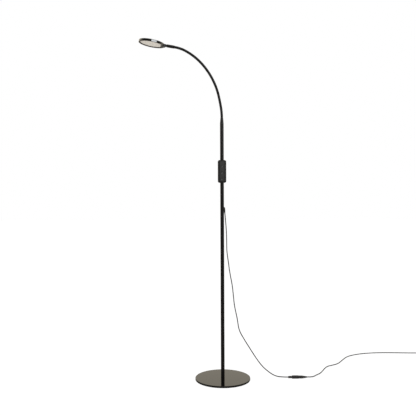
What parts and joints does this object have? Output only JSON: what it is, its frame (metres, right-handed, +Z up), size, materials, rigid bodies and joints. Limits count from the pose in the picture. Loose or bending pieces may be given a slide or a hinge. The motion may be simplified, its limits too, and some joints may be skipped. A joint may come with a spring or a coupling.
{
  "type": "gooseneck floor lamp",
  "caption": "Floor reading lamp with a round weighted foot, slim pole with a control box, bendable gooseneck and flat disc light head, and a low voltage lead to a wall adapter.",
  "frame": {"origin": "centre of the foot's underside, where the pole's axis meets the floor", "axes": "+Z up along the pole; the neck bends towards -X; the control box's buttons face -Y; the lead leaves towards +X"},
  "size_m": [1.4836, 0.5268, 1.458],
  "materials": {
    "gloss_black_steel": "gloss black paint",
    "satin_black_steel": "satin black powder coat",
    "foam_rubber": "matt",
    "zinc_steel": "zinc plated",
    "blackened_steel": "blackened",
    "black_plastic": "fine grain, satin",
    "grey_panel": "satin",
    "button_plastic": "satin",
    "circuit_board": "solder mask",
    "acetal": "natural white",
    "ribbed_neck": "black, satin",
    "cord_sheath": "soft satin vinyl",
    "moulded_black": "moulded, satin",
    "nickel_contact": "bright nickel",
    "head_gloss": "gloss black lacquer over aluminium",
    "white_board": "white solder mask on an aluminium core",
    "light_chip": "phosphor",
    "white_frame": "matt white",
    "opal_diffuser": "opal, satin",
    "bezel_black": "gloss",
    "nylon_washer": "nylon",
    "knuckle_grey": "satin, dark anodised"
  },
  "bodies": {
    "stand": {"base_plate": "gloss_black_steel", "base_pad": "foam_rubber", "foot_washer": "zinc_steel", "foot_screw": "zinc_steel", "lower_pole": "satin_black_steel", "foot_slug": "zinc_steel", "pole_nut": "zinc_steel", "pole_stud": "zinc_steel", "middle_pole": "satin_black_steel", "upper_pole": "satin_black_steel", "control_front_shell": "black_plastic", "control_rear_shell": "black_plastic", "case_screws": "blackened_steel", "board_screws": "zinc_steel", "control_panel": "grey_panel", "control_board": "circuit_board", "button_switches": "moulded_black", "swivel_bush": "acetal", "cord_gland": "moulded_black", "supply_cable": "cord_sheath", "head_cable": "cord_sheath", "lamp_cord": "cord_sheath", "lead_socket": "moulded_black", "lead_plug": "moulded_black", "plug_barrel": "nickel_contact", "adapter_cord": "cord_sheath", "cord_coil": "cord_sheath", "adapter_tail": "cord_sheath", "adapter_boot": "moulded_black", "adapter_cover": "black_plastic", "adapter_plate": "black_plastic", "adapter_blades": "nickel_contact", "adapter_board": "circuit_board"},
    "neck_1": {"neck_collar": "satin_black_steel", "swivel_clip": "zinc_steel", "neck_link_1": "ribbed_neck"},
    "neck_2": {"neck_link_2": "ribbed_neck"},
    "neck_3": {"neck_link_3": "ribbed_neck"},
    "neck_4": {"neck_link_4": "ribbed_neck"},
    "neck_5": {"neck_link_5": "ribbed_neck"},
    "neck_6": {"neck_link_6": "ribbed_neck"},
    "neck_7": {"neck_link_7": "ribbed_neck"},
    "neck_8": {"neck_link_8": "ribbed_neck", "end_sleeve": "satin_black_steel", "knuckle_tongue": "knuckle_grey"},
    "head": {"friction_washers": "nylon_washer", "head_fork": "knuckle_grey", "fork_screws": "blackened_steel", "tilt_screw": "blackened_steel", "tilt_nut": "blackened_steel", "head_shell": "head_gloss", "light_screws": "zinc_steel", "light_board": "white_board", "light_chips": "light_chip", "light_frame": "white_frame", "diffuser": "opal_diffuser", "head_bezel": "bezel_black"},
    "power_key": {"power_button": "button_plastic"},
    "colour_key": {"colour_button": "button_plastic"},
    "brightness_key": {"brightness_button": "button_plastic"}
  },
  "joints": [
    {"name": "neck_swivel", "type": "hinge", "parent": "stand", "child": "neck_1", "pos_m": [0, 0, 1.093], "axis": [0, 0, 1], "range_deg": [-150, 150]},
    {"name": "neck_bend_1", "type": "hinge", "parent": "neck_1", "child": "neck_2", "pos_m": [-0.00405, 0, 1.16978], "axis": [0, -1, 0], "range_deg": [-6.51, 7.81]},
    {"name": "neck_bend_2", "type": "hinge", "parent": "neck_2", "child": "neck_3", "pos_m": [-0.01361, 0, 1.21783], "axis": [0, -1, 0], "range_deg": [-6.51, 7.81]},
    {"name": "neck_bend_3", "type": "hinge", "parent": "neck_3", "child": "neck_4", "pos_m": [-0.02853, 0, 1.26444], "axis": [0, -1, 0], "range_deg": [-9.15, 10.98]},
    {"name": "neck_bend_4", "type": "hinge", "parent": "neck_4", "child": "neck_5", "pos_m": [-0.05068, 0, 1.3081], "axis": [0, -1, 0], "range_deg": [-8.81, 8.81]},
    {"name": "neck_bend_5", "type": "hinge", "parent": "neck_5", "child": "neck_6", "pos_m": [-0.07924, 0, 1.34785], "axis": [0, -1, 0], "range_deg": [-9.61, 9.61]},
    {"name": "neck_bend_6", "type": "hinge", "parent": "neck_6", "child": "neck_7", "pos_m": [-0.11403, 0, 1.38227], "axis": [0, -1, 0], "range_deg": [-10.61, 10.61]},
    {"name": "neck_bend_7", "type": "hinge", "parent": "neck_7", "child": "neck_8", "pos_m": [-0.15454, 0, 1.4097], "axis": [0, -1, 0], "range_deg": [-14.75, 14.75]},
    {"name": "head_tilt", "type": "hinge", "parent": "neck_8", "child": "head", "pos_m": [-0.23898, 0, 1.43263], "axis": [-0.0076, -0.999, -0.043], "range_deg": [-45, 45]},
    {"name": "power_press", "type": "slide", "parent": "stand", "child": "power_key", "axis": [0, 1, 0], "range_m": [0, 0.0008], "stiffness_N_per_m": 600, "springref_m": -0.001},
    {"name": "colour_press", "type": "slide", "parent": "stand", "child": "colour_key", "axis": [0, 1, 0], "range_m": [0, 0.0008], "stiffness_N_per_m": 600, "springref_m": -0.001},
    {"name": "brightness_press", "type": "slide", "parent": "stand", "child": "brightness_key", "axis": [0, 1, 0], "range_m": [0, 0.0008], "stiffness_N_per_m": 600, "springref_m": -0.001}
  ],
  "couplings": [
    {"joint": "neck_bend_1", "follows": "neck_bend_3", "ratio": 0.71038},
    {"joint": "neck_bend_2", "follows": "neck_bend_3", "ratio": 0.71038},
    {"joint": "neck_bend_4", "follows": "neck_bend_7", "ratio": 0.59661},
    {"joint": "neck_bend_5", "follows": "neck_bend_7", "ratio": 0.65085},
    {"joint": "neck_bend_6", "follows": "neck_bend_7", "ratio": 0.71864}
  ]
}
